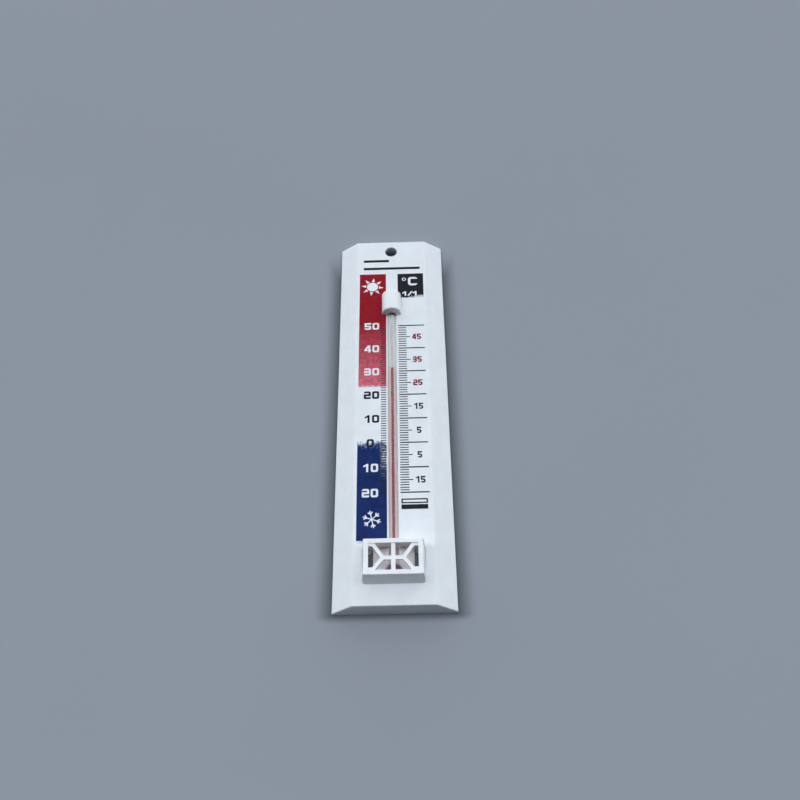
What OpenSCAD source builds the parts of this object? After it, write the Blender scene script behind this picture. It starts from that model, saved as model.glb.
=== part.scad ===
// Wall thermometer: a spirit-filled glass tube carried on a moulded backboard.
// Frame: X to the right, Z up, the printed face towards -Y, the wall towards +Y.
// The origin is the centre of the hanging hole, at the back of the face wall it pierces.
// Names ending in _up are heights above the bottom end of the board.
// Names ending in _out are distances in front of the wall that the back rim rests on.

/* [Backboard] */
// Length of the board from end to end
board_len = 200; // [199:0.5:206]
// Width of the board across its upright side edges
board_w = 53.2; // [52:0.2:60]
// Width of the flat front face between the sloping flanks
face_w = 35.4; // [35:0.2:38]
// Distance of the front face from the wall
face_out = 8.4; // [8.2:0.1:11]
// Depth of the upright side edges below the flanks
edge_out = 1.3; // [1.2:0.1:3]
// Slope of the two end walls, as their setback at the front face
end_set = 1; // [0:0.1:1.5]
// Thickness of the moulded walls
wall_t = 1.8; // [1.6:0.1:2]
// Diameter of the hanging hole
hole_d = 6.2; // [4:0.1:7]
// Height of the hanging hole
hole_up = 192.2; // [191.5:0.1:193]
// Number of cross ribs on the back
rib_count = 3; // [1:1:5]

/* [Scale] */
// Lowest graduation, in degrees Celsius
t_low = -20; // [-20:10:-10]
// Highest graduation, in degrees Celsius
t_high = 50; // [40:10:50]
// Height of the zero graduation
zero_up = 77.3; // [76.8:0.1:78]
// Distance between neighbouring graduations at zero
deg_len = 1.278; // [1.25:0.002:1.29]
// Growth of the graduation distance, as the liquid expands faster when warm
deg_growth = 0.001; // [0:0.0002:0.0012]
// Temperature that the thermometer shows at rest
reading = 31.2; // [0:0.1:45]
// Thickness of the short graduation lines
tick_t = 0.46; // [0.3:0.02:0.6]
// Thickness of the long graduation lines at every ten degrees
ten_tick_t = 0.58; // [0.3:0.02:0.8]
// Thickness of one coat of printing ink
ink_t = 0.05; // [0.03:0.01:0.08]

/* [Glass tube] */
// Outside diameter of the stem
tube_d = 4.2; // [4:0.1:4.4]
// Diameter of the capillary bore
bore_d = 0.8; // [0.5:0.1:1]
// Distance of the tube's axis from the wall
tube_out = 8.3; // [8.1:0.05:8.5]
// Sideways offset of the tube's axis
tube_x = 0.05; // [-0.2:0.05:0.2]
// Height of the sealed upper end
tube_top_up = 159.6; // [157:0.1:159.8]
// Outside diameter of the bulb
bulb_d = 6.6; // [6:0.1:6.8]
// Height of the bulb's centre
bulb_up = 15.5; // [15.4:0.1:16]

/* [Tube hood] */
// Width of the hood
hood_w = 9.6; // [9:0.1:10]
// Height of the hood above the face
hood_h = 6; // [5.6:0.1:7]
// Height of the hood's open lower end
hood_up = 150.4; // [149:0.1:151]
// Length of the hood
hood_len = 11.6; // [11.2:0.1:11.7]

/* [Bulb guard] */
// Width of the guard at its foot
guard_w = 27; // [26.6:0.1:28]
// Length of the guard along the board at its foot
guard_len = 17.6; // [17.2:0.1:18]
// Height of the guard above the face
guard_h = 9; // [8:0.1:11]
// Slope of the guard's walls, as their setback at the front
guard_draft = 0.9; // [0.5:0.1:1.1]
// Height of the guard's centre
guard_up = 19.1; // [18.9:0.1:19.3]
// Sideways offset of the guard's centre
guard_x = 0; // [-0.2:0.1:0.2]
// Thickness of the guard's walls
guard_t = 1.3; // [1:0.1:1.4]

/* [Hidden] */
$fn = 64;
eps = 0.01;

// Backboard: the inside of the flanks is parallel to the outside
flank_run = (board_w - face_w) / 2;
flank_drop = face_out - edge_out;
flank_len = norm([flank_run, flank_drop]);
flank_n = [flank_drop / flank_len, flank_run / flank_len];
flank_c = flank_n[0] * board_w / 2 + flank_n[1] * edge_out - wall_t;
inner_out = face_out - wall_t;
inner_face_x = (flank_c - flank_n[1] * inner_out) / flank_n[0];
inner_edge_x = board_w / 2 - wall_t;
inner_edge_out = (flank_c - flank_n[0] * inner_edge_x) / flank_n[1];
rib_t = 1.4;
rib_back_out = 1;

// Groove and pocket that the glass lies in
tube_r = tube_d / 2;
bore_r = bore_d / 2;
bulb_r = bulb_d / 2;
glass_gap = 0.03;
groove_r = tube_r + 0.12;
groove_out = tube_out + groove_r - tube_r - glass_gap;
groove_floor_out = groove_out - groove_r;
pocket_r = bulb_r + 0.5;
pocket_floor_out = tube_out - bulb_r - glass_gap;
channel_wall = 1.6;
glass_wall = 0.7;
cavity_r = bulb_r - glass_wall;
chamber_r = 0.9;

// Spirit
spirit_gap = 0.02;
thread_r = bore_r - spirit_gap;
fill_r = cavity_r - spirit_gap;
thread_foot_up = bulb_up + bulb_r;
spirit_top_up = zero_up + reading * deg_len + reading * reading * deg_growth;
meniscus_len = 1.2;
meniscus_dip = 0.22;

// Hood pegs
peg_r = 0.9;
peg_gap = 0.05;
peg_x = (hood_w / 2 + groove_r) / 2;
peg_up = hood_up + hood_len / 2;
pad_back_out = inner_out - 2.6;
peg_tip_out = pad_back_out - 0.6;
hood_base_out = face_out + ink_t;
hood_bore_r = tube_r + 0.25;
hood_end_t = 1.9;

// Guard
guard_corner = 1.5;
guard_side_bar = 2.1;
guard_end_bar = 2;
guard_flange_t = 1.8;
guard_top_out = face_out + guard_h;
guard_open_x = guard_w / 2 - guard_draft - guard_side_bar;
guard_open_y = guard_len / 2 - guard_draft - guard_end_bar;
lattice_drop = 0.5;
lattice_t = 1.1;
lattice_post_w = 1.8;
lattice_beam_w = 1.7;
lattice_brace_w = 1.6;
lattice_node_x = 4.35;
lattice_beam_y = -0.5;
window_in_x = 8.8;
window_gap = 0.15;
window_low_up = 17.2;
window_high_up = 25.8;
window_out_x = guard_w / 2 + window_gap;
tab_play = 0.4;
tab_tip_out = inner_out - 2.1;
barb_reach = 0.7;
barb_gap = 0.1;

// Print layout, measured from the board's centre line
band_left = -16.2;
band_right = -2.75;
red_low_up = 107.8;
red_high_up = 177.1;
blue_low_up = 29.6;
blue_high_up = 78.6;
left_tick_x = -5.4;
left_tick_len = 2.45;
right_tick_x = 3.25;
right_tick_len = 4;
right_five_len = 5.75;
right_ten_len = 12.9;
big_number_x = -9.9;
small_number_x = 12.25;
unit_left = 3.25;
unit_right = 16.45;
unit_low_up = 161.4;
unit_high_up = 177;
// Sideways shift of the white numerals in the blue band, and of the zero
cold_shift = -0.45;
// Width, height, stroke, corner radius and gap of the two sizes of numeral
big_type = [3.35, 4.2, 1, 0.95, 0.6];
small_type = [2.05, 3.3, 0.7, 0.85, 0.3];

// ---------- placing ----------

function degree_up(t) = zero_up + t * deg_len + t * t * deg_growth;

// Moves children, drawn with heights and distances from the wall, into the frame
module hang() {
    translate([0, inner_out, -hole_up]) children();
}

// Turns a drawing in (x, height) into a slab that stands off the wall
module slab(from_out, to_out) {
    translate([0, -from_out, 0])
        rotate([90, 0, 0])
            linear_extrude(to_out - from_out) children();
}

// Extrudes a section drawn in (x, distance from the wall) up the board
module run(low_up, high_up) {
    translate([0, 0, low_up])
        linear_extrude(high_up - low_up)
            mirror([0, 1]) children();
}

// Extrudes a section drawn in (distance from the wall, height) across the board
module across(from_x, to_x) {
    translate([from_x, 0, 0])
        rotate([90, 0, 90])
            linear_extrude(to_x - from_x)
                mirror([1, 0]) children();
}

// A round bar that points out of the wall
module out_bar(r, x, up, from_out, to_out) {
    translate([x, -from_out, up])
        rotate([90, 0, 0])
            cylinder(r = r, h = to_out - from_out);
}

// ---------- backboard ----------

module board_section() {
    polygon([
        [-board_w / 2, 0], [board_w / 2, 0],
        [board_w / 2, edge_out], [face_w / 2, face_out],
        [-face_w / 2, face_out], [-board_w / 2, edge_out]
    ]);
}

module hollow_section() {
    polygon([
        [-inner_edge_x, -1], [inner_edge_x, -1],
        [inner_edge_x, inner_edge_out], [inner_face_x, inner_out],
        [-inner_face_x, inner_out], [-inner_edge_x, inner_edge_out]
    ]);
}

// Side view of the board, or of its hollow, between the sloping end walls
module end_profile(low_up, top_out) {
    set = end_set * top_out / face_out;
    polygon([
        [-1, low_up - end_set / face_out], [-1, board_len - low_up + end_set / face_out],
        [top_out, board_len - low_up - set], [top_out, low_up + set]
    ]);
}

module tray() {
    difference() {
        intersection() {
            run(-1, board_len + 1) board_section();
            across(-board_w, board_w) end_profile(0, face_out + 1);
        }
        intersection() {
            run(-1, board_len + 1) hollow_section();
            across(-board_w, board_w) end_profile(wall_t, inner_out + 1);
        }
    }
}

// Cross ribs that stop short of the wall
module ribs() {
    pitch = board_len / (rib_count + 1);
    for (i = [1:rib_count])
        intersection() {
            run(i * pitch - rib_t / 2, i * pitch + rib_t / 2) board_section();
            translate([-board_w / 2, -face_out, 0])
                cube([board_w, face_out - rib_back_out, board_len]);
        }
}

// Solid behind the groove, the hood pegs and the bulb
module backing() {
    half_w = groove_r + channel_wall;
    slab(groove_floor_out - channel_wall, inner_out + eps)
        translate([tube_x - half_w, bulb_up])
            square([2 * half_w, tube_top_up - bulb_up]);
    pad_half = peg_x + peg_r + channel_wall;
    slab(pad_back_out, inner_out + eps)
        translate([tube_x - pad_half, hood_up])
            square([2 * pad_half, hood_len]);
    out_bar(pocket_r + channel_wall, tube_x, bulb_up,
            pocket_floor_out - channel_wall, inner_out + eps);
}

module windows_2d() {
    window_w = window_out_x - window_in_x;
    for (x = [guard_x + window_in_x, guard_x - window_out_x])
        translate([x, window_low_up]) square([window_w, window_high_up - window_low_up]);
}

module backboard() {
    color("white")
    hang()
    difference() {
        union() {
            tray();
            ribs();
            backing();
        }
        out_bar(hole_d / 2, 0, hole_up, 0, face_out + 1);
        translate([tube_x, -groove_out, bulb_up])
            cylinder(r = groove_r, h = hood_up + hood_len - hood_end_t - bulb_up);
        out_bar(pocket_r, tube_x, bulb_up, pocket_floor_out, face_out + 1);
        slab(inner_out - 1, face_out + 1) windows_2d();
        for (side = [-1, 1])
            out_bar(peg_r + peg_gap, tube_x + side * peg_x, peg_up, 0, face_out + 1);
    }
}

// ---------- tube hood ----------

module hood_section() {
    round_r = hood_w / 2;
    square_h = hood_h - round_r;
    translate([0, hood_base_out]) {
        translate([-round_r, 0]) square([hood_w, square_h]);
        intersection() {
            translate([0, square_h]) circle(r = round_r);
            translate([-round_r, 0]) square([hood_w, hood_h]);
        }
    }
}

module tube_hood() {
    color("white")
    hang() {
        difference() {
            translate([tube_x, 0, 0]) run(hood_up, hood_up + hood_len) hood_section();
            translate([tube_x, -tube_out, hood_up - 1])
                cylinder(r = hood_bore_r, h = hood_len - hood_end_t + 1);
        }
        for (side = [-1, 1])
            out_bar(peg_r, tube_x + side * peg_x, peg_up, peg_tip_out, hood_base_out + 0.5);
    }
}

// ---------- bulb guard ----------

// A rounded rectangle about its centre
module round_rect(w, h, r) {
    square([w - 2 * r, h], center = true);
    square([w, h - 2 * r], center = true);
    for (sx = [-1, 1], sy = [-1, 1])
        translate([sx * (w / 2 - r), sy * (h / 2 - r)]) circle(r = r);
}

// A straight strip with round ends
module strip(from, to, w) {
    run_len = norm(to - from);
    translate(from)
        rotate(atan2(to[1] - from[1], to[0] - from[0]))
            translate([0, -w / 2]) square([run_len, w]);
    for (p = [from, to])
        translate(p) circle(r = w / 2);
}

module lattice_2d() {
    square([lattice_post_w, 2 * guard_open_y + 1], center = true);
    translate([0, lattice_beam_y]) square([2 * lattice_node_x, lattice_beam_w], center = true);
    for (sx = [-1, 1], sy = [-1, 1]) {
        knot = [sx * lattice_node_x, lattice_beam_y];
        bend = [sx * (guard_open_x - 2.1), sy * (guard_open_y - 0.5)];
        strip(knot, bend, lattice_brace_w);
        strip(bend, [sx * (guard_open_x + 0.8), bend[1]], lattice_brace_w);
    }
}

// A block that narrows by draft on every side from its foot to its front
module drafted_block(w, len, from_out, to_out, draft) {
    intersection() {
        run(-len / 2, len / 2)
            polygon([
                [-w / 2, from_out], [w / 2, from_out],
                [w / 2 - draft, to_out], [draft - w / 2, to_out]
            ]);
        across(-w / 2, w / 2)
            polygon([
                [from_out, -len / 2], [from_out, len / 2],
                [to_out, len / 2 - draft], [to_out, draft - len / 2]
            ]);
    }
}

// The four walls of the guard with the flange round its opening
module guard_walls() {
    hollow_foot_out = face_out - 1;
    hollow_top_out = guard_top_out - guard_flange_t;
    hollow_draft = guard_draft * (hollow_top_out - hollow_foot_out) / guard_h;
    difference() {
        intersection() {
            drafted_block(guard_w, guard_len, face_out, guard_top_out, guard_draft);
            slab(face_out - 1, guard_top_out + 1)
                round_rect(guard_w, guard_len, guard_corner);
        }
        drafted_block(guard_w - 2 * guard_t, guard_len - 2 * guard_t,
                      hollow_foot_out, hollow_top_out, hollow_draft);
        slab(face_out - 1, guard_top_out + 1)
            square([2 * guard_open_x, 2 * guard_open_y], center = true);
    }
}

// A flexible tab with a barb that catches behind the face
module snap_tab() {
    low = window_low_up + tab_play;
    tab_len = window_high_up - window_low_up - 2 * tab_play;
    outer_x = guard_w / 2 - 0.1;
    barb_top_out = inner_out - barb_gap;
    run(low, low + tab_len)
        polygon([
            [outer_x - guard_t, tab_tip_out],
            [outer_x - 0.2, tab_tip_out],
            [outer_x + barb_reach, barb_top_out - 0.5],
            [outer_x + barb_reach, barb_top_out],
            [outer_x, barb_top_out],
            [outer_x, face_out + 0.5],
            [outer_x - guard_t, face_out + 0.5]
        ]);
}

module bulb_guard() {
    color("white")
    hang() {
        difference() {
            translate([guard_x, 0, guard_up]) {
                guard_walls();
                slab(guard_top_out - lattice_drop - lattice_t,
                     guard_top_out - lattice_drop) lattice_2d();
            }
            translate([tube_x, -tube_out, guard_up])
                cylinder(r = tube_r + 0.3, h = guard_len);
        }
        for (side = [-1, 1])
            translate([guard_x, 0, 0]) scale([side, 1, 1]) snap_tab();
    }
}

// ---------- glass tube and spirit ----------

// Places children, drawn about the tube's axis, at a height above the bottom end
module on_tube(up) {
    hang() translate([tube_x, -tube_out, up]) children();
}

module glass_tube() {
    color([0.85, 0.92, 0.95, 0.4])
    difference() {
        union() {
            on_tube(bulb_up) sphere(r = bulb_r);
            on_tube(bulb_up) cylinder(r = tube_r, h = tube_top_up - tube_r - bulb_up);
            on_tube(tube_top_up - tube_r) sphere(r = tube_r);
        }
        on_tube(bulb_up) sphere(r = cavity_r);
        on_tube(bulb_up) cylinder(r = bore_r, h = tube_top_up - tube_r - 3 - bulb_up);
        on_tube(tube_top_up - tube_r - 3) sphere(r = chamber_r);
    }
}

module bulb_spirit() {
    color([0.6, 0.05, 0.1])
    union() {
        on_tube(bulb_up) sphere(r = fill_r);
        on_tube(bulb_up) cylinder(r = thread_r, h = thread_foot_up - bulb_up);
    }
}

module spirit_column() {
    color([0.7, 0.08, 0.12])
    on_tube(thread_foot_up)
        cylinder(r = thread_r, h = spirit_top_up - meniscus_len - thread_foot_up);
}

// The upper end of the thread, with its hollow surface
module spirit_meniscus() {
    hollow_r = (thread_r * thread_r + meniscus_dip * meniscus_dip) / (2 * meniscus_dip);
    color([0.7, 0.08, 0.12])
    difference() {
        on_tube(spirit_top_up - meniscus_len) cylinder(r = thread_r, h = meniscus_len);
        on_tube(spirit_top_up - meniscus_dip + hollow_r) sphere(r = hollow_r);
    }
}

// ---------- numerals ----------

// A rounded frame about its centre
module frame_2d(w, h, s, r) {
    difference() {
        round_rect(w, h, r);
        round_rect(w - 2 * s, h - 2 * s, max(r - s, 0.15));
    }
}

// A rounded frame that is open on its left side
module bowl(w, h, s, r) {
    difference() {
        frame_2d(w, h, s, r);
        translate([-w / 2 - 1, -h / 2 + s]) square([s + 1 + 0.2 * w, h - 2 * s]);
    }
}

module digit_1(w, h, s) {
    stem_x = w / 2 - 1.5 * s;
    flag_x = stem_x - 1.25 * s;
    translate([stem_x, -h / 2]) square([s, h]);
    polygon([
        [stem_x + s / 2, h / 2], [stem_x + s / 2, h / 2 - s],
        [flag_x, h / 2 - 1.8 * s], [flag_x, h / 2 - 0.9 * s]
    ]);
}

module digit_2(w, h, s, r) {
    part_h = (h + s) / 2;
    translate([0, (h - part_h) / 2]) bowl(w, part_h, s, r);
    translate([0, (part_h - h) / 2]) mirror([1, 0]) bowl(w, part_h, s, min(r, 0.6 * s));
}

module digit_3(w, h, s, r) {
    part_h = (h + s) / 2;
    for (side = [-1, 1])
        translate([0, side * (h - part_h) / 2]) bowl(w, part_h, s, r);
}

module digit_4(w, h, s) {
    bar_y = -h / 2 + 0.2 * h;
    stem_x = w / 2 - 1.35 * s;
    translate([-w / 2, bar_y]) square([w, 0.85 * s]);
    translate([stem_x, -h / 2]) square([s, h]);
    polygon([
        [stem_x + s / 2, h / 2], [stem_x - 0.25 * s, h / 2],
        [-w / 2, bar_y + 0.85 * s], [-w / 2, bar_y],
        [-w / 2 + 0.9 * s, bar_y + 0.6 * s], [stem_x + s / 2, h / 2 - 1.1 * s]
    ]);
}

module digit_5(w, h, s, r) {
    part_h = 0.62 * h;
    translate([-w / 2, h / 2 - s]) square([w, s]);
    translate([-w / 2, -h / 2 + part_h - s]) square([s, h - part_h + s]);
    translate([0, (part_h - h) / 2]) bowl(w, part_h, s, r);
}

module digit(d, type) {
    w = type[0];
    h = type[1];
    s = type[2];
    r = type[3];
    if (d == 0) frame_2d(w, h, s, r);
    if (d == 1) digit_1(w, h, s);
    if (d == 2) digit_2(w, h, s, r);
    if (d == 3) digit_3(w, h, s, r);
    if (d == 4) digit_4(w, h, s);
    if (d == 5) digit_5(w, h, s, r);
}

// A number from 0 to 59, centred
module number_2d(n, type) {
    step = type[0] + type[4];
    if (n < 10) {
        digit(n, type);
    } else {
        translate([-step / 2, 0]) digit(floor(n / 10), type);
        translate([step / 2, 0]) digit(n % 10, type);
    }
}

// ---------- print ----------

// Uneven ink edge, as the height of a wave along x
function ragged(x) = 0.5 * sin(330 * x) + 0.3 * sin(710 * x + 40) + 0.2 * sin(1290 * x + 15);

// A block of ink whose ends are uneven by low_amp and high_amp
module ink_block(left, right, low, high, low_amp, high_amp) {
    step = 0.3;
    count = floor((right - left) / step);
    xs = [for (i = [0:count]) left + (right - left) * i / count];
    polygon(concat(
        [for (x = xs) [x, low + low_amp * ragged(x)]],
        [for (i = [count:-1:0]) [xs[i], high + high_amp * ragged(xs[i] + 3)]]
    ));
}

module left_ticks_2d() {
    for (t = [t_low:t_high])
        translate([left_tick_x, degree_up(t) - tick_t / 2])
            square([left_tick_len, tick_t]);
}

module right_ticks_2d() {
    for (t = [t_low:t_high]) {
        line_len = t % 10 == 0 ? right_ten_len : t % 5 == 0 ? right_five_len : right_tick_len;
        line_t = t % 10 == 0 ? ten_tick_t : tick_t;
        translate([right_tick_x, degree_up(t) - line_t / 2]) square([line_len, line_t]);
    }
}

// Numerals of the left scale at every ten degrees from one mark to another
module big_numbers_2d(from, to) {
    for (t = [from:10:to]) {
        shift = t > 0 ? 0 : cold_shift;
        translate([big_number_x + shift, degree_up(t)]) number_2d(abs(t), big_type);
    }
}

// Numerals of the right scale at the odd fives from one mark to another
module small_numbers_2d(from, to) {
    for (t = [from:10:to])
        translate([small_number_x, degree_up(t)]) number_2d(abs(t), small_type);
}

// A plain disc with eight separate rays
module sun_2d() {
    disc_r = 2.85;
    ray_foot = 3.3;
    ray_tip = 5.9;
    ray_w = 1.7;
    circle(r = disc_r);
    for (i = [0:7])
        rotate(45 * i - 7)
            polygon([[ray_foot, -ray_w / 2], [ray_tip, 0], [ray_foot, ray_w / 2]]);
}

// A six-armed crystal
module crystal_2d() {
    arm = 4.2;
    spoke_w = 0.5;
    barb_w = 0.62;
    for (i = [0:5])
        rotate(60 * i + 42) {
            translate([0, -spoke_w / 2]) square([arm, spoke_w]);
            for (side = [-1, 1])
                translate([arm - 1.75, 0]) rotate(side * 44)
                    translate([0, -barb_w / 2]) square([1.45, barb_w]);
        }
}

// The degree ring, the letter C and the division ratio, about the box's corner
module unit_2d() {
    translate([unit_left + 3.3, unit_high_up - 3.6]) frame_2d(2.1, 2.1, 0.5, 0.9);
    translate([unit_left + 7.8, unit_high_up - 5]) mirror([1, 0]) bowl(4.9, 5.6, 1.3, 1.6);
    ratio_type = [2.4, 2.9, 0.9, 0.8, 0];
    for (x = [3.6, 8.9])
        translate([unit_left + x, unit_high_up - 13]) digit(1, ratio_type);
    translate([unit_left + 6.4, unit_high_up - 13])
        polygon([[-1.6, -1.45], [-0.6, -1.45], [1.4, 1.45], [0.4, 1.45]]);
}

// Two plain rules where a title would stand
module heading_2d() {
    translate([-14.3, 185.2]) square([13.2, 1.5]);
    translate([-14.3, 180.1]) square([29.2, 1.5]);
}

// A blank name plate: an empty frame above a solid bar
module name_plate_2d() {
    plate_w = 11.7;
    translate([9.4, 45.15]) square([plate_w, 2.2], center = true);
    translate([9.4, 47.95]) frame_2d(plate_w, 2.3, 0.6, 0.4);
}

// Knocks the black lines and numerals out of a coloured band
module black_over_bands_2d() {
    left_ticks_2d();
    big_numbers_2d(0, 20);
}

module red_print() {
    color([0.63, 0.1, 0.17])
    hang() slab(face_out, face_out + ink_t) {
        difference() {
            ink_block(band_left, band_right, red_low_up, red_high_up, 0.2, 0);
            black_over_bands_2d();
            big_numbers_2d(30, 50);
            translate([-9.7, 168.8]) sun_2d();
            translate([tube_x - peg_x, peg_up]) circle(r = peg_r + 2 * peg_gap);
        }
        small_numbers_2d(25, 45);
    }
}

module blue_print() {
    color([0.08, 0.13, 0.36])
    hang() slab(face_out, face_out + ink_t)
        difference() {
            union() {
                ink_block(band_left - 0.05, band_right - 0.05, blue_low_up, blue_high_up,
                          0.05, 0.35);
                translate([band_left + 0.3, blue_low_up - 1.3]) square([3.6, 1.5]);
            }
            black_over_bands_2d();
            big_numbers_2d(-20, -10);
            translate([-9.5, 39.5]) crystal_2d();
        }
}

module black_print() {
    color([0.08, 0.08, 0.09])
    hang() slab(face_out, face_out + ink_t) {
        left_ticks_2d();
        right_ticks_2d();
        big_numbers_2d(0, 20);
        small_numbers_2d(-15, 15);
        heading_2d();
        name_plate_2d();
        difference() {
            ink_block(unit_left, unit_right, unit_low_up, unit_high_up, 0.4, 0);
            unit_2d();
        }
    }
}

// ---------- the thermometer ----------

backboard();
tube_hood();
bulb_guard();
glass_tube();
bulb_spirit();
spirit_column();
spirit_meniscus();
red_print();
blue_print();
black_print();
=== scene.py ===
"""Looks of the wall thermometer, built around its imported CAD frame.

Everything is in metres in the row frame: X right, Z up the board, the printed face towards -Y
and the wall towards +Y. Places come from the boxes of the CAD nodes.
"""

import math

import bmesh
import bpy
from mathutils import Matrix, Vector


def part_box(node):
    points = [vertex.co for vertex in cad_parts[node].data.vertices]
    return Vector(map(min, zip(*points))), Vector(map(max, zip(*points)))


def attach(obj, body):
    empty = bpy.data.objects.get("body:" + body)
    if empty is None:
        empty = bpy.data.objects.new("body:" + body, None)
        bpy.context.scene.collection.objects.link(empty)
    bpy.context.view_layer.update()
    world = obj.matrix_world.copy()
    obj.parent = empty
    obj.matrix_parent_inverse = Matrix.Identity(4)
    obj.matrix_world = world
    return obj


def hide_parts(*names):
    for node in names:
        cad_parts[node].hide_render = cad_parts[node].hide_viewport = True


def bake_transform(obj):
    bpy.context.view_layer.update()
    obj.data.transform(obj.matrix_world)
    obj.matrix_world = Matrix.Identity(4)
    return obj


MM = 0.001

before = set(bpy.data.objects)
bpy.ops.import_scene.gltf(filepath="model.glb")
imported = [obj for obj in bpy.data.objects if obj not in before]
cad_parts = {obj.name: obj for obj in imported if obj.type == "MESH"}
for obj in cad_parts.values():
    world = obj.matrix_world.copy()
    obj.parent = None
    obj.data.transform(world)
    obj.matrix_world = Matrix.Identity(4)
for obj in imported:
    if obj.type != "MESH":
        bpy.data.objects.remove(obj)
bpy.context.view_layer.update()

BOARD_LOW, BOARD_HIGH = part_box("backboard")
TUBE_LOW, TUBE_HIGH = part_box("glass_tube")
FILL_LOW, FILL_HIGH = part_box("bulb_spirit")
THREAD_LOW, THREAD_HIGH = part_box("spirit_column")
TIP_LOW, TIP_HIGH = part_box("spirit_meniscus")
RED_LOW, RED_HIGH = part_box("red_print")
BLUE_LOW, BLUE_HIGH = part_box("blue_print")
GUARD_LOW, GUARD_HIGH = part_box("bulb_guard")

FACE_Y = BOARD_LOW.y
WALL_Y = BOARD_HIGH.y
BULB_R = (TUBE_HIGH.x - TUBE_LOW.x) / 2
AXIS_X = (TUBE_HIGH.x + TUBE_LOW.x) / 2
AXIS_Y = (TUBE_HIGH.y + TUBE_LOW.y) / 2
BULB_Z = TUBE_LOW.z + BULB_R
FILL_R = (FILL_HIGH.x - FILL_LOW.x) / 2
THREAD_R = (THREAD_HIGH.x - THREAD_LOW.x) / 2
LIQUID_GAP = 0.02 * MM
BORE_R = THREAD_R + LIQUID_GAP
STEM_R = 2.1 * MM
CHAMBER_R = 0.9 * MM
BORE_FILLET_R = 0.9 * MM
FACE_WALL_T = 1.8 * MM
SMALL_EDGE_R = 0.12 * MM

FACE_CORNERS = [
    v.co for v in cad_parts["backboard"].data.vertices if abs(v.co.y - FACE_Y) < 0.01 * MM
]
FACE_HALF_W = max(v.x for v in FACE_CORNERS)
END_SLOPE = (min(v.z for v in FACE_CORNERS) - BOARD_LOW.z) / (WALL_Y - FACE_Y)


# ---------- node graphs ----------


class Graph:
    """A shader under construction. Inputs may be numbers, colours or the sockets of other nodes."""

    def __init__(self, owner, output_kind, coordinates):
        self.owner = owner
        owner.use_nodes = True
        self.tree = owner.node_tree
        self.tree.nodes.clear()
        self.output = self.tree.nodes.new(output_kind)
        coords = self.tree.nodes.new("ShaderNodeTexCoord")
        self.place = coords.outputs[coordinates]

    def node(self, kind, settings=None, inputs=None):
        made = self.tree.nodes.new(kind)
        for key, value in (settings or {}).items():
            setattr(made, key, value)
        for key, value in (inputs or {}).items():
            self.feed(made.inputs[key], value)
        return made

    def feed(self, socket, value):
        """Links the socket to a node, or sets its number or colour."""
        if isinstance(value, bpy.types.NodeSocket):
            self.tree.links.new(value, socket)
        elif isinstance(value, (tuple, list)) and len(value) == 3 and socket.type == "RGBA":
            socket.default_value = (*value, 1.0)
        else:
            socket.default_value = value

    def math(self, operation, a, b=0.0):
        return self.node("ShaderNodeMath", {"operation": operation}, {0: a, 1: b}).outputs[0]

    def step(self, value, low, high, to_low=0.0, to_high=1.0, smooth=True):
        """value taken from low..high to to_low..to_high, and held at the ends."""
        kind = "SMOOTHSTEP" if smooth else "LINEAR"
        made = self.node(
            "ShaderNodeMapRange",
            {"interpolation_type": kind},
            {0: value, 1: low, 2: high, 3: to_low, 4: to_high},
        )
        return made.outputs[0]

    def axes(self, vector=None):
        """The x, y and z of a vector, which is the shaded place unless another one is given."""
        parts = self.node("ShaderNodeSeparateXYZ", None, {0: vector or self.place})
        return parts.outputs[0], parts.outputs[1], parts.outputs[2]

    def stretched(self, x, y, z):
        """The shaded place, scaled on each axis. A small factor draws a pattern out along it."""
        scaled = self.node("ShaderNodeVectorMath", {"operation": "MULTIPLY"}, {0: self.place})
        scaled.inputs[1].default_value = (x, y, z)
        return scaled.outputs[0]

    def noise(self, scale, detail=3.0, roughness=0.5, vector=None):
        made = self.node(
            "ShaderNodeTexNoise",
            None,
            {
                "Vector": vector or self.place,
                "Scale": scale,
                "Detail": detail,
                "Roughness": roughness,
            },
        )
        return made.outputs["Fac"]

    def mix(self, share, a, b):
        made = self.node("ShaderNodeMix", {"data_type": "RGBA"})
        self.feed(made.inputs["Factor"], share)
        for name, value in (("A", a), ("B", b)):
            socket = [s for s in made.inputs if s.name == name and s.type == "RGBA"][0]
            self.feed(socket, value)
        return [s for s in made.outputs if s.type == "RGBA"][0]

    def bump(self, height, strength, distance, under=None):
        """A normal from a height pattern, laid over the normal given as under."""
        inputs = {"Height": height, "Strength": strength, "Distance": distance}
        if under is not None:
            inputs["Normal"] = under
        return self.node("ShaderNodeBump", None, inputs).outputs[0]

    def shader(self, kind, inputs):
        return self.node(kind, None, inputs).outputs[0]

    def blend(self, share, a, b):
        return self.node("ShaderNodeMixShader", None, {0: share, 1: a, 2: b}).outputs[0]

    def finish(self, surface):
        self.tree.links.new(surface, self.output.inputs["Surface"])
        return self.owner


def material_graph(name):
    return Graph(bpy.data.materials.new(name), "ShaderNodeOutputMaterial", "Object")


# ---------- materials ----------

BOARD_WHITE = (0.80, 0.83, 0.86)
FITTING_WHITE = (0.85, 0.87, 0.89)


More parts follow.
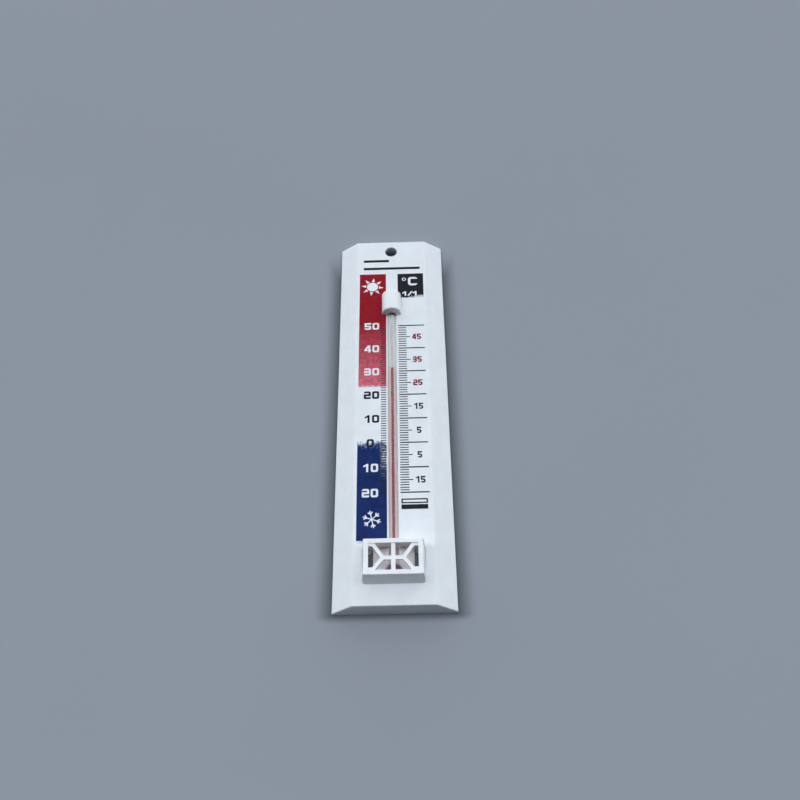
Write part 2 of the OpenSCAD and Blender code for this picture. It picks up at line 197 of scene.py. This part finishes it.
def inside_guard(g):
    """1 inside the guard and on the front of the board's face within it, 0 elsewhere."""
    x, y, z = g.axes()
    skin = 1.2 * MM
    behind_face = 1.0 * MM
    fade = 0.5 * MM
    depths = [
        g.math("SUBTRACT", x, GUARD_LOW.x + skin),
        g.math("SUBTRACT", GUARD_HIGH.x - skin, x),
        g.math("SUBTRACT", z, GUARD_LOW.z + skin),
        g.math("SUBTRACT", GUARD_HIGH.z - skin, z),
        g.math("SUBTRACT", y, GUARD_LOW.y + skin),
        g.math("SUBTRACT", FACE_Y + behind_face, y),
    ]
    least = depths[0]
    for depth in depths[1:]:
        least = g.math("MINIMUM", least, depth)
    return g.step(least, 0.0, fade)


def moulded_plastic(name, colour, roughness, grain):
    """White injection-moulded plastic: a soft gloss, a faint flow pattern and a fine grain.

    Inside the guard its colour is painted a touch warmer, as painted light for the light that has
    crossed the plastic there.
    """
    g = material_graph(name)
    flow = g.noise(38.0, 2.0, 0.5, g.stretched(1.0, 1.0, 0.35))
    cloud = g.noise(160.0, 4.0)
    fine = g.noise(grain, 3.0, 0.6)
    shaded = tuple(0.955 * c for c in colour)
    dust = (0.20, 0.19, 0.18)
    tone = g.mix(g.step(cloud, 0.3, 0.7), shaded, colour)
    specks = g.node("ShaderNodeTexVoronoi", {"feature": "F1"}, {"Vector": g.place, "Scale": 95.0})
    speck = g.step(specks.outputs["Distance"], 0.016, 0.03, 1.0, 0.0)
    rare = g.step(g.noise(31.0, 0.0), 0.62, 0.66)
    tone = g.mix(g.math("MULTIPLY", speck, rare), tone, dust)
    # Painted light: surfaces inside the guard are given a warmer colour.
    painted_light_tint = (1.10, 1.02, 1.01)
    painted_light_colour = tuple(c * w for c, w in zip(colour, painted_light_tint))
    tone = g.mix(inside_guard(g), tone, painted_light_colour)
    rough = g.math("ADD", roughness - 0.05, g.math("MULTIPLY", cloud, 0.10))
    waves = g.bump(flow, 0.10, 1.2 * MM)
    normal = g.bump(fine, 0.10, 0.02 * MM, waves)
    surface = g.shader(
        "ShaderNodeBsdfPrincipled",
        {
            "Base Color": tone,
            "Roughness": rough,
            "IOR": 1.52,
            "Normal": normal,
            "Subsurface Weight": 0.08,
            "Subsurface Radius": (0.9, 0.9, 0.8),
            "Subsurface Scale": 0.6 * MM,
        },
    )
    return g.finish(surface)


def ink_surface(g, tone):
    """A dry ink film: a little uneven in gloss, with pinholes too small to see singly."""
    grain = g.noise(2600.0, 2.0, 0.6)
    rough = g.math("ADD", 0.16, g.math("MULTIPLY", grain, 0.16))
    surface = g.shader(
        "ShaderNodeBsdfPrincipled",
        {
            "Base Color": tone,
            "Roughness": rough,
            "IOR": 1.36,
            "Normal": g.bump(grain, 0.15, 0.01 * MM),
        },
    )
    return g.finish(surface)


def red_ink():
    """Deep red at the top of the band, thinning to a mottled pink at its lower end."""
    g = material_graph("red_ink")
    thin_ink = (0.62, 0.150, 0.205)
    numeral_ink = (0.175, 0.006, 0.018)
    x, _, z = g.axes()
    fade = g.step(z, RED_HIGH.z - 31 * MM, RED_LOW.z + 2 * MM, 0.0, 1.0, smooth=False)
    mottle = g.noise(640.0, 5.0, 0.66, g.stretched(1.0, 1.0, 0.8))
    thin = g.math("MULTIPLY", fade, g.step(mottle, 0.32, 0.66, 0.55, 1.1))
    deep = g.mix(g.step(mottle, 0.3, 0.7), (0.245, 0.008, 0.016), (0.305, 0.011, 0.022))
    tone = g.mix(thin, deep, thin_ink)
    lower_edge = g.step(z, RED_LOW.z + 1.6 * MM, RED_LOW.z + 0.2 * MM)
    tattered = g.step(g.noise(1500.0, 4.0, 0.7), 0.42, 0.62)
    tone = g.mix(g.math("MULTIPLY", lower_edge, tattered), tone, BOARD_WHITE)
    numerals = g.step(x, 2 * MM, 3 * MM)
    tone = g.mix(numerals, tone, numeral_ink)
    return ink_surface(g, tone)


def blue_ink():
    """Navy, streaky along its upper edge and beside the graduations, smeared below its end."""
    g = material_graph("blue_ink")
    thin_ink = (0.075, 0.135, 0.34)
    smeared_ink = (0.40, 0.47, 0.62)
    smear_top = BLUE_LOW.z + 1.3 * MM
    x, _, z = g.axes()
    cloud = g.noise(210.0, 4.0, 0.6)
    tone = g.mix(g.step(cloud, 0.3, 0.7), (0.0065, 0.019, 0.094), (0.011, 0.030, 0.132))
    streaks = g.noise(900.0, 5.0, 0.7, g.stretched(1.0, 1.0, 0.45))
    top = g.step(z, BLUE_HIGH.z - 6.5 * MM, BLUE_HIGH.z + 0.4 * MM, 0.0, 1.0, smooth=False)
    lost = g.step(g.math("ADD", streaks, g.math("MULTIPLY", top, 0.66)), 0.80, 1.18)
    pale = g.step(g.math("ADD", streaks, g.math("MULTIPLY", top, 0.5)), 0.66, 0.98)
    side = g.step(x, BLUE_HIGH.x - 3.4 * MM, BLUE_HIGH.x - 1.6 * MM)
    depth = g.step(z, BLUE_HIGH.z - 22 * MM, BLUE_HIGH.z - 5 * MM)
    worn = g.math("MULTIPLY", side, depth)
    scratches = g.noise(1300.0, 4.0, 0.75, g.stretched(0.5, 1.0, 1.2))
    side_lost = g.math("MULTIPLY", worn, g.step(scratches, 0.42, 0.62))
    tone = g.mix(pale, tone, thin_ink)
    tone = g.mix(g.math("MAXIMUM", lost, side_lost), tone, BOARD_WHITE)
    smear = g.step(z, smear_top - 0.08 * MM, smear_top + 0.04 * MM, 1.0, 0.0)
    faint = g.mix(g.step(scratches, 0.35, 0.6), smeared_ink, BOARD_WHITE)
    tone = g.mix(smear, tone, faint)
    return ink_surface(g, tone)


def black_ink():
    """Dense black that breaks up only along the lower edge of the unit box."""
    g = material_graph("black_ink")
    x, _, z = g.axes()
    cloud = g.noise(300.0, 3.0)
    tone = g.mix(cloud, (0.011, 0.012, 0.015), (0.022, 0.024, 0.030))
    worn_ink = (0.60, 0.62, 0.65)
    # Just above the lower edge of the unit box, counted from the top of the red band
    wear_z = RED_HIGH.z - 15.2 * MM
    edge = g.step(z, wear_z + 2.6 * MM, wear_z - 0.2 * MM, 0.0, 1.0, smooth=False)
    near_box = g.math("MULTIPLY", g.step(z, wear_z - 2 * MM, wear_z - 1 * MM), edge)
    right = g.step(x, 8 * MM, 16 * MM, 0.45, 1.0)
    streaks = g.noise(1100.0, 4.0, 0.7, g.stretched(1.0, 1.0, 0.4))
    share = g.math("ADD", streaks, g.math("MULTIPLY", g.math("MULTIPLY", near_box, right), 0.75))
    tone = g.mix(g.step(share, 0.80, 1.12), tone, worn_ink)
    return ink_surface(g, tone)


def lit_share(g):
    """1 for shadow and bounce rays, 0 for rays that the camera follows."""
    path = g.node("ShaderNodeLightPath")
    return g.math("MAXIMUM", path.outputs["Is Shadow Ray"], path.outputs["Is Diffuse Ray"])


def tube_glass():
    """Drawn clear glass. Shadow and bounce rays pass, so that the groove behind stays lit."""
    g = material_graph("clear_glass")
    glass = g.shader(
        "ShaderNodeBsdfPrincipled",
        {
            "Base Color": g.mix(g.noise(240.0, 2.0), (0.985, 0.99, 0.985), (0.995, 0.998, 0.995)),
            "Roughness": 0.01,
            "IOR": 1.5,
            "Transmission Weight": 1.0,
        },
    )
    clear = g.shader("ShaderNodeBsdfTransparent", {"Color": (0.97, 0.975, 0.97)})
    return g.finish(g.blend(lit_share(g), glass, clear))


def bore_wall():
    """The inner wall of the glass: seen as a faint sheen where the bore is empty."""
    g = material_graph("bore_wall")
    drawn = g.noise(900.0, 2.0, 0.5, g.stretched(1.0, 1.0, 0.02))
    sheen = g.shader(
        "ShaderNodeBsdfPrincipled",
        {"Base Color": (0.62, 0.64, 0.66), "Roughness": 0.3, "IOR": 1.45},
    )
    clear = g.shader("ShaderNodeBsdfTransparent", {"Color": (0.99, 0.99, 0.99)})
    return g.finish(g.blend(g.step(drawn, 0.3, 0.7, 0.10, 0.22), clear, sheen))


def white_enamel():
    """The milky strip fused into the back of the stem, that the thread is read against."""
    g = material_graph("white_enamel")
    cloud = g.noise(300.0, 2.0, 0.5, g.stretched(1.0, 1.0, 0.03))
    tone = g.mix(cloud, (0.61, 0.61, 0.60), (0.65, 0.65, 0.64))
    return g.finish(
        g.shader("ShaderNodeBsdfPrincipled", {"Base Color": tone, "Roughness": 0.5, "IOR": 1.45})
    )


def red_spirit():
    """Dyed spirit: darkest in the bulb, with a slight glow of its own colour at the edges."""
    g = material_graph("red_spirit")
    wisps = g.noise(700.0, 2.0, 0.5, g.stretched(1.0, 1.0, 0.05))
    _, _, z = g.axes()
    deep = g.mix(wisps, (0.10, 0.003, 0.010), (0.15, 0.005, 0.014))
    shallow = g.mix(wisps, (0.21, 0.004, 0.014), (0.28, 0.008, 0.022))
    tone = g.mix(g.step(z, BULB_Z + 3 * MM, BULB_Z + 8 * MM), deep, shallow)
    surface = g.shader(
        "ShaderNodeBsdfPrincipled",
        {
            "Base Color": tone,
            "Roughness": 0.12,
            "IOR": 1.36,
            "Subsurface Weight": 0.12,
            "Subsurface Radius": (1.0, 0.15, 0.15),
            "Subsurface Scale": 0.5 * MM,
        },
    )
    tinted = g.shader("ShaderNodeBsdfTransparent", {"Color": (0.92, 0.16, 0.24)})
    return g.finish(g.blend(lit_share(g), surface, tinted))


def stage_surface():
    """A plain pale table top, seen only from the side that the object lies on.

    It has a painted shadow that darkens it towards the board's outline, and under the hollow board
    a faint painted glow stands in for the light that comes through the thin plastic.
    """
    g = material_graph("pale_table")
    broad = g.noise(5.0, 3.0)
    fine = g.noise(1500.0, 2.0)
    tone = g.mix(broad, (0.266, 0.290, 0.326), (0.287, 0.312, 0.350))
    black = (0.0, 0.0, 0.0)
    shade_width = 9 * MM
    shade_depth = 0.38
    painted_glow_strength = 0.055
    x, _, z = g.axes()
    beside = g.math("SUBTRACT", g.math("ABSOLUTE", x), BOARD_HIGH.x)
    below = g.math("SUBTRACT", BOARD_LOW.z, z)
    above = g.math("SUBTRACT", z, BOARD_HIGH.z)
    # The shade is narrower past the ends than along the sides
    beyond = g.math("MAXIMUM", g.math("MULTIPLY", below, 2.2), g.math("MULTIPLY", above, 5.0))
    aside = g.math("MAXIMUM", beside, 0.0)
    beyond = g.math("MAXIMUM", beyond, 0.0)
    away = g.math(
        "SQRT", g.math("ADD", g.math("MULTIPLY", aside, aside), g.math("MULTIPLY", beyond, beyond))
    )
    # Painted shadow: the table's colour is darkened near the board's outline, most at its edge.
    shade = g.step(away, -1 * MM, shade_width, shade_depth, 1.0)
    shade = g.math("MAXIMUM", shade, g.step(z, BOARD_HIGH.z - 35 * MM, BOARD_HIGH.z))
    tone = g.mix(shade, black, tone)
    under = g.math("MAXIMUM", beside, g.math("MAXIMUM", below, above))
    # Painted glow: the table under the board's outline emits a faint light of its own.
    glow = g.step(under, -5 * MM, -4 * MM, painted_glow_strength, 0.0)
    surface = g.shader(
        "ShaderNodeBsdfPrincipled",
        {
            "Base Color": tone,
            "Roughness": 0.8,
            "Specular IOR Level": 0.1,
            "Normal": g.bump(fine, 0.05, 0.05 * MM),
            "Emission Color": (0.99, 1.0, 1.03),
            "Emission Strength": glow,
        },
    )
    camera_ahead = g.node(
        "ShaderNodeVectorTransform",
        {"vector_type": "VECTOR", "convert_from": "CAMERA", "convert_to": "WORLD"},
    )
    camera_ahead.inputs[0].default_value = (0.0, 0.0, 1.0)
    _, facing, _ = g.axes(camera_ahead.outputs[0])
    # In camera space +Z points ahead, so a camera behind the table looks along -Y
    behind = g.math("LESS_THAN", facing, -0.02)
    clear = g.shader("ShaderNodeBsdfTransparent", {})
    return g.finish(g.blend(behind, surface, clear))


# ---------- mesh helpers ----------


def add_object(name, mesh, materials):
    piece = bpy.data.objects.new(name, mesh)
    bpy.context.scene.collection.objects.link(piece)
    for material in materials:
        mesh.materials.append(material)
    return piece


def object_from(bm, name, materials):
    """Turns a finished bmesh into an object of the scene, and frees it."""
    mesh = bpy.data.meshes.new(name)
    bm.to_mesh(mesh)
    bm.free()
    return add_object(name, mesh, materials)


def sharp_edges(bm, least_angle):
    """Edges where two faces meet at more than least_angle."""
    return [e for e in bm.edges if len(e.link_faces) == 2 and e.calc_face_angle() > least_angle]


def softened(node, name, material, main_edges):
    """A copy of a CAD node with rounded edges. main_edges pairs tests of an edge with radii."""
    main_angle = math.radians(25)
    small_angle = math.radians(32)
    flat_angle = math.radians(0.6)
    bm = bmesh.new()
    bm.from_mesh(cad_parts[node].data)
    bmesh.ops.remove_doubles(bm, verts=bm.verts, dist=0.001 * MM)
    bmesh.ops.dissolve_limit(bm, angle_limit=flat_angle, verts=bm.verts, edges=bm.edges)
    for is_main, radius in main_edges:
        bmesh.ops.bevel(
            bm,
            geom=[e for e in sharp_edges(bm, main_angle) if is_main(e)],
            offset=radius,
            segments=4,
            profile=0.5,
            affect="EDGES",
            clamp_overlap=True,
        )
    piece = object_from(bm, name, [material])
    for polygon in piece.data.polygons:
        polygon.use_smooth = True
    rounding = piece.modifiers.new("small_edges", "BEVEL")
    rounding.width = SMALL_EDGE_R
    rounding.segments = 2
    rounding.limit_method = "ANGLE"
    rounding.angle_limit = small_angle
    weighted = piece.modifiers.new("flat_faces", "WEIGHTED_NORMAL")
    weighted.keep_sharp = True
    weighted.weight = 100
    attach(piece, "root")
    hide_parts(node)


def lathe(bm, profile, segments, material_index):
    """Turns (radius, height) points about the tube's axis. Points with no radius become poles."""
    rings = []
    for radius, height in profile:
        if radius < 1e-7:
            rings.append([bm.verts.new((AXIS_X, AXIS_Y, height))])
            continue
        ring = []
        for i in range(segments):
            a = 2 * math.pi * i / segments
            ring.append(
                bm.verts.new(
                    (AXIS_X + radius * math.cos(a), AXIS_Y + radius * math.sin(a), height)
                )
            )
        rings.append(ring)
    for low, high in zip(rings, rings[1:]):
        for i in range(segments):
            j = (i + 1) % segments
            corners = [
                low[i % len(low)],
                low[j % len(low)],
                high[j % len(high)],
                high[i % len(high)],
            ]
            face = bm.faces.new(list(dict.fromkeys(corners)))
            face.smooth = True
            face.material_index = material_index


def turned(name, runs, materials):
    """A turned object. Each run is a profile and its segments, and takes the next material."""
    bm = bmesh.new()
    for index, (profile, segments) in enumerate(runs):
        lathe(bm, profile, segments, index)
    return object_from(bm, name, materials)


def arc(centre, radius, from_deg, to_deg, steps):
    """Points on a circle in (radius, height), counted from the outward direction."""
    points = []
    for i in range(steps + 1):
        a = math.radians(from_deg + (to_deg - from_deg) * i / steps)
        points.append((centre[0] + radius * math.cos(a), centre[1] + radius * math.sin(a)))
    return points


def line(start, end, steps):
    """Evenly spaced points from start to end, both included."""
    return [
        (start[0] + (end[0] - start[0]) * i / steps, start[1] + (end[1] - start[1]) * i / steps)
        for i in range(steps + 1)
    ]


def joined(*runs):
    """Runs of points end to end, without the repeated points."""
    points = []
    for run in runs:
        for p in run:
            if not points or math.dist(p, points[-1]) > 1e-8:
                points.append((max(p[0], 0.0), p[1]))
    return points


def flask(ball_r, neck_r, fillet_r, ball_z, neck_top):
    """A ball that flows through a fillet into a straight neck, from its lowest point up."""
    reach = neck_r + fillet_r
    fillet_z = ball_z + math.sqrt((ball_r + fillet_r) ** 2 - reach**2)
    meet = math.degrees(math.atan2(fillet_z - ball_z, reach))
    return joined(
        arc((0.0, ball_z), ball_r, -90, meet, 40),
        arc((reach, fillet_z), fillet_r, 180 + meet, 180, 12),
        line((neck_r, fillet_z), (neck_r, neck_top), 60),
    )


# ---------- pieces ----------


def at(value, target):
    """Whether two coordinates are the same, within 0.05 mm."""
    return abs(value - target) < 0.05 * MM


def board_main_edge(edge):
    """The outline of the face, the long outer edges and the outline of the sloping ends."""
    long_edge = 60 * MM
    a, b = edge.verts[0].co, edge.verts[1].co
    if (a - b).length > long_edge:
        return all(
            at(abs(v.x), BOARD_HIGH.x) and v.y < WALL_Y - 0.5 * MM
            or at(abs(v.x), FACE_HALF_W) and at(v.y, FACE_Y)
            for v in (a, b)
        )
    for end, inward in ((BOARD_LOW.z, 1), (BOARD_HIGH.z, -1)):
        heights = [(WALL_Y - v.y, end + inward * (WALL_Y - v.y) * END_SLOPE, v.z) for v in (a, b)]
        if all(out > 1.0 * MM and at(z, slope_z) for out, slope_z, z in heights):
            return True
    return False


def hood_arch_edge(edge, end_z):
    """The arched outline of one end of the hood, without its foot and its tube hole."""
    past_hole_r = 3.5 * MM
    a, b = edge.verts[0].co, edge.verts[1].co
    on_end = at(a.z, end_z) and at(b.z, end_z)
    in_front = (a.y + b.y) / 2 < FACE_Y - 0.2 * MM
    outside = all(math.hypot(v.x - AXIS_X, v.y - AXIS_Y) > past_hole_r for v in (a, b))
    return on_end and in_front and outside


def guard_main_edge(edge):
    """The outer rim of the guard's front."""
    corner = 1.3 * MM
    front_y = GUARD_LOW.y
    mid_x = (GUARD_LOW.x + GUARD_HIGH.x) / 2
    mid_z = (GUARD_LOW.z + GUARD_HIGH.z) / 2
    points = [v.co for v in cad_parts["bulb_guard"].data.vertices if at(v.co.y, front_y)]
    half_w = max(v.x for v in points) - mid_x
    half_h = max(v.z for v in points) - mid_z
    a, b = edge.verts[0].co, edge.verts[1].co
    front = at(a.y, front_y) and at(b.y, front_y)
    outer = all(
        abs(v.x - mid_x) > half_w - corner and abs(v.z - mid_z) > half_h - corner
        or at(abs(v.x - mid_x), half_w)
        or at(abs(v.z - mid_z), half_h)
        for v in (a, b)
    )
    return front and outer


def make_board(material):
    """The moulded board, with soft outer edges."""
    edges = [(board_main_edge, 0.45 * MM)]
    softened("backboard", "board_shell", material, edges)


def make_hood(material):
    """The hood, rounder at its lower end than at its top end."""
    low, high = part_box("tube_hood")
    edges = [
        (lambda edge: hood_arch_edge(edge, low.z), 0.75 * MM),
        (lambda edge: hood_arch_edge(edge, high.z), 0.35 * MM),
    ]
    softened("tube_hood", "hood_body", material, edges)


def make_guard(material):
    """The lattice guard, with a soft rim round its front."""
    edges = [(guard_main_edge, 0.35 * MM)]
    softened("bulb_guard", "guard_cage", material, edges)


def make_ejector_marks(material):
    """Shallow round pin marks that the mould leaves on the hidden side of the face."""
    mark_r = 2.2 * MM
    lip = 0.25 * MM
    depth = 0.12 * MM
    out_x = 11.5 * MM
    segments = 40
    profile = (
        (mark_r, 0.0),
        (mark_r - lip / 2, depth),
        (mark_r - lip, depth),
        (mark_r - 1.4 * lip, depth * 0.3),
    )
    angles = [2 * math.pi * i / segments for i in range(segments)]
    inner_y = FACE_Y + FACE_WALL_T
    length = BOARD_HIGH.z - BOARD_LOW.z
    bm = bmesh.new()
    for share in (0.13, 0.37, 0.63, 0.87):
        for side in (-1, 1):
            centre = Vector((side * out_x, inner_y, BOARD_LOW.z + share * length))
            rings = []
            for radius, rise in profile:
                places = [(radius * math.cos(a), rise, radius * math.sin(a)) for a in angles]
                rings.append([bm.verts.new(centre + Vector(place)) for place in places])
            for outer, inner in zip(rings, rings[1:]):
                for i in range(segments):
                    j = (i + 1) % segments
                    bm.faces.new((outer[i], inner[i], inner[j], outer[j]))
            bm.faces.new(rings[-1])
            bm.faces.new(list(reversed(rings[0])))
    bmesh.ops.recalc_face_normals(bm, faces=bm.faces)
    piece = object_from(bm, "ejector_marks", [material])
    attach(piece, "root")


def make_glass(outer_material, bore_material):
    """The stem and its bulb, hollow: the bore opens into the bulb and into a small chamber."""
    shoulder_r = 1.3 * MM
    dome_z = TUBE_HIGH.z - STEM_R
    outer = joined(
        flask(BULB_R, STEM_R, shoulder_r, BULB_Z, dome_z),
        arc((0.0, dome_z), STEM_R, 0, 90, 14),
    )
    chamber_drop = 3 * MM
    chamber_z = dome_z - chamber_drop
    cavity_r = FILL_R + LIQUID_GAP
    chamber_foot = math.degrees(math.acos(BORE_R / CHAMBER_R))
    bore_top = chamber_z - CHAMBER_R * math.sin(math.radians(chamber_foot))
    inner = joined(
        flask(cavity_r, BORE_R, BORE_FILLET_R, BULB_Z, bore_top),
        arc((0.0, chamber_z), CHAMBER_R, -chamber_foot, 90, 16),
    )
    runs = [(outer, 96), (list(reversed(inner)), 48)]
    piece = turned("glass_stem_and_bulb", runs, [outer_material, bore_material])
    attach(piece, "root")
    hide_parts("glass_tube")


def make_enamel(material):
    """A thin curved strip inside the glass, behind the bore, bent in a little at its sides."""
    outer_r = 1.45 * MM
    side_bend = 0.15 * MM
    thickness = 0.08 * MM
    half_angle = math.radians(72)
    low = BULB_Z + BULB_R + 2.2 * MM
    high = TUBE_HIGH.z - STEM_R - 1.2 * MM
    across = 18
    up = 40
    bm = bmesh.new()
    grid = []
    for i in range(across + 1):
        a = math.pi / 2 + half_angle * (2 * i / across - 1)
        edge = abs(2 * i / across - 1)
        column = []
        for k in range(up + 1):
            z = low + (high - low) * k / up
            radius = outer_r - side_bend * edge**4
            column.append(
                bm.verts.new((AXIS_X + radius * math.cos(a), AXIS_Y + radius * math.sin(a), z))
            )
        grid.append(column)
    for left, right in zip(grid, grid[1:]):
        for k in range(up):
            face = bm.faces.new((left[k], right[k], right[k + 1], left[k + 1]))
            face.smooth = True
    piece = object_from(bm, "enamel_strip", [material])
    body = piece.modifiers.new("body", "SOLIDIFY")
    body.thickness = thickness
    body.offset = 0.0
    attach(piece, "root")


def make_spirit(material):
    """The filled bulb, the thread that stretches with the reading, and its travelling end."""
    fill_top = FILL_HIGH.z
    profile = joined(
        flask(FILL_R, THREAD_R, BORE_FILLET_R, BULB_Z, fill_top),
        line((THREAD_R, fill_top), (0.0, fill_top), 1),
    )
    fill = turned("spirit_in_bulb", [(profile, 64)], [material])
    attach(fill, "root")
    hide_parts("bulb_spirit")

    profile = joined(
        line((0.0, THREAD_LOW.z), (THREAD_R, THREAD_LOW.z), 1),
        line((THREAD_R, THREAD_LOW.z), (THREAD_R, THREAD_HIGH.z), 120),
        line((THREAD_R, THREAD_HIGH.z), (0.0, THREAD_HIGH.z), 1),
    )
    thread = turned("spirit_thread", [(profile, 32)], [material])
    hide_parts("spirit_column")
    # The stretch starts below the thread's foot, because over a shorter length the rings would
    # fold at the lowest reading. So the foot moves as well, by about 0.2 mm at most.
    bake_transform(thread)

    dip = 0.22 * MM
    steps = 8
    outward = [1 - i / steps for i in range(steps + 1)]
    profile = joined(
        line((0.0, TIP_LOW.z), (THREAD_R, TIP_LOW.z), 1),
        line((THREAD_R, TIP_LOW.z), (THREAD_R, TIP_HIGH.z), 6),
        [(THREAD_R * share, TIP_HIGH.z - dip * (1 - share**2)) for share in outward],
    )
    tip = turned("spirit_tip", [(profile, 32)], [material])
    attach(tip, "meniscus")
    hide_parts("spirit_meniscus")


def dress_print(node, material):
    """Gives a printed CAD node its ink."""
    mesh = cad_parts[node].data
    mesh.materials.clear()
    mesh.materials.append(material)


# ---------- stage ----------


def make_stage():
    """The plain table that the back of the board lies on."""
    half = 3.0
    gap = 0.2 * MM
    y = WALL_Y + gap
    corners = [(-half, y, -half), (half, y, -half), (half, y, half), (-half, y, half)]
    mesh = bpy.data.meshes.new("table")
    mesh.from_pydata(corners, [], [(0, 1, 2, 3)])
    table = add_object("table", mesh, [stage_surface()])


def make_light():
    """A soft sky: a bright band straight over the face, softer light from the sides and the top.

    The dark window between them keeps glare off the inks, and nothing shines from below the
    board, so the faces that look down stay in shade.
    """
    overhead_strength = 5.6
    side_strength = 1.5
    window_strength = 0.06
    sky_tint = (0.885, 0.94, 1.0)
    backdrop = (0.27, 0.30, 0.35)
    g = Graph(bpy.data.worlds.new("studio"), "ShaderNodeOutputWorld", "Generated")
    bpy.context.scene.world = g.owner
    # x and z are those of the direction, whose length is 1
    x, _, z = g.axes()
    aside = g.math("ABSOLUTE", x)
    overhead = g.math("MULTIPLY", g.step(z, -0.17, -0.06), g.step(z, 0.06, 0.23, 1.0, 0.0))
    overhead = g.math("MULTIPLY", overhead, g.step(aside, 0.60, 0.85, 1.0, 0.0))
    narrow = g.step(aside, 0.25, 0.60, 1.0, 0.0)
    low = g.step(z, 0.68, 0.86, 1.0, 0.0)
    window = g.math("MULTIPLY", narrow, low)
    above = g.step(z, -0.15, 0.30)
    strength = g.step(window, 0.0, 1.0, side_strength, window_strength, smooth=False)
    around = g.math("MULTIPLY", above, strength)
    open_sky = g.math("MAXIMUM", around, g.math("MULTIPLY", overhead, overhead_strength))
    lamp = g.node("ShaderNodeBackground", None, {0: sky_tint, 1: open_sky})
    seen = g.node("ShaderNodeBackground", None, {0: backdrop, 1: 1.0})
    camera_ray = g.node("ShaderNodeLightPath").outputs["Is Camera Ray"]
    g.finish(g.blend(camera_ray, lamp.outputs[0], seen.outputs[0]))


def make_camera():
    """Looks up the board from beyond its bottom end, a little to the right of it."""
    sensor_mm = 36.0
    lens_mm = 38.384
    roll = math.radians(-0.859)
    place = Vector((10.21, -344.88, -303.06)) * MM
    aim = Vector((3.60, -1.80, -92.04)) * MM
    data = bpy.data.cameras.new("photo_camera")
    data.sensor_width = sensor_mm
    data.lens = lens_mm
    data.clip_start = 0.01
    data.clip_end = 20.0
    camera = bpy.data.objects.new("photo_camera", data)
    bpy.context.scene.collection.objects.link(camera)
    level = (aim - place).to_track_quat("-Z", "Y").to_matrix().to_4x4()
    camera.matrix_world = Matrix.Translation(place) @ level @ Matrix.Rotation(roll, 4, "Z")
    bpy.context.scene.camera = camera


# ---------- build ----------

board_plastic = moulded_plastic("board_plastic", BOARD_WHITE, 0.34, 2400.0)
fitting_plastic = moulded_plastic("fitting_plastic", FITTING_WHITE, 0.38, 2000.0)
spirit = red_spirit()

make_board(board_plastic)
make_ejector_marks(board_plastic)
make_hood(fitting_plastic)
make_guard(fitting_plastic)
make_glass(tube_glass(), bore_wall())
make_enamel(white_enamel())
make_spirit(spirit)
dress_print("red_print", red_ink())
dress_print("blue_print", blue_ink())
dress_print("black_print", black_ink())
make_stage()
make_light()
make_camera()
bpy.context.scene.view_settings.view_transform = "Standard"
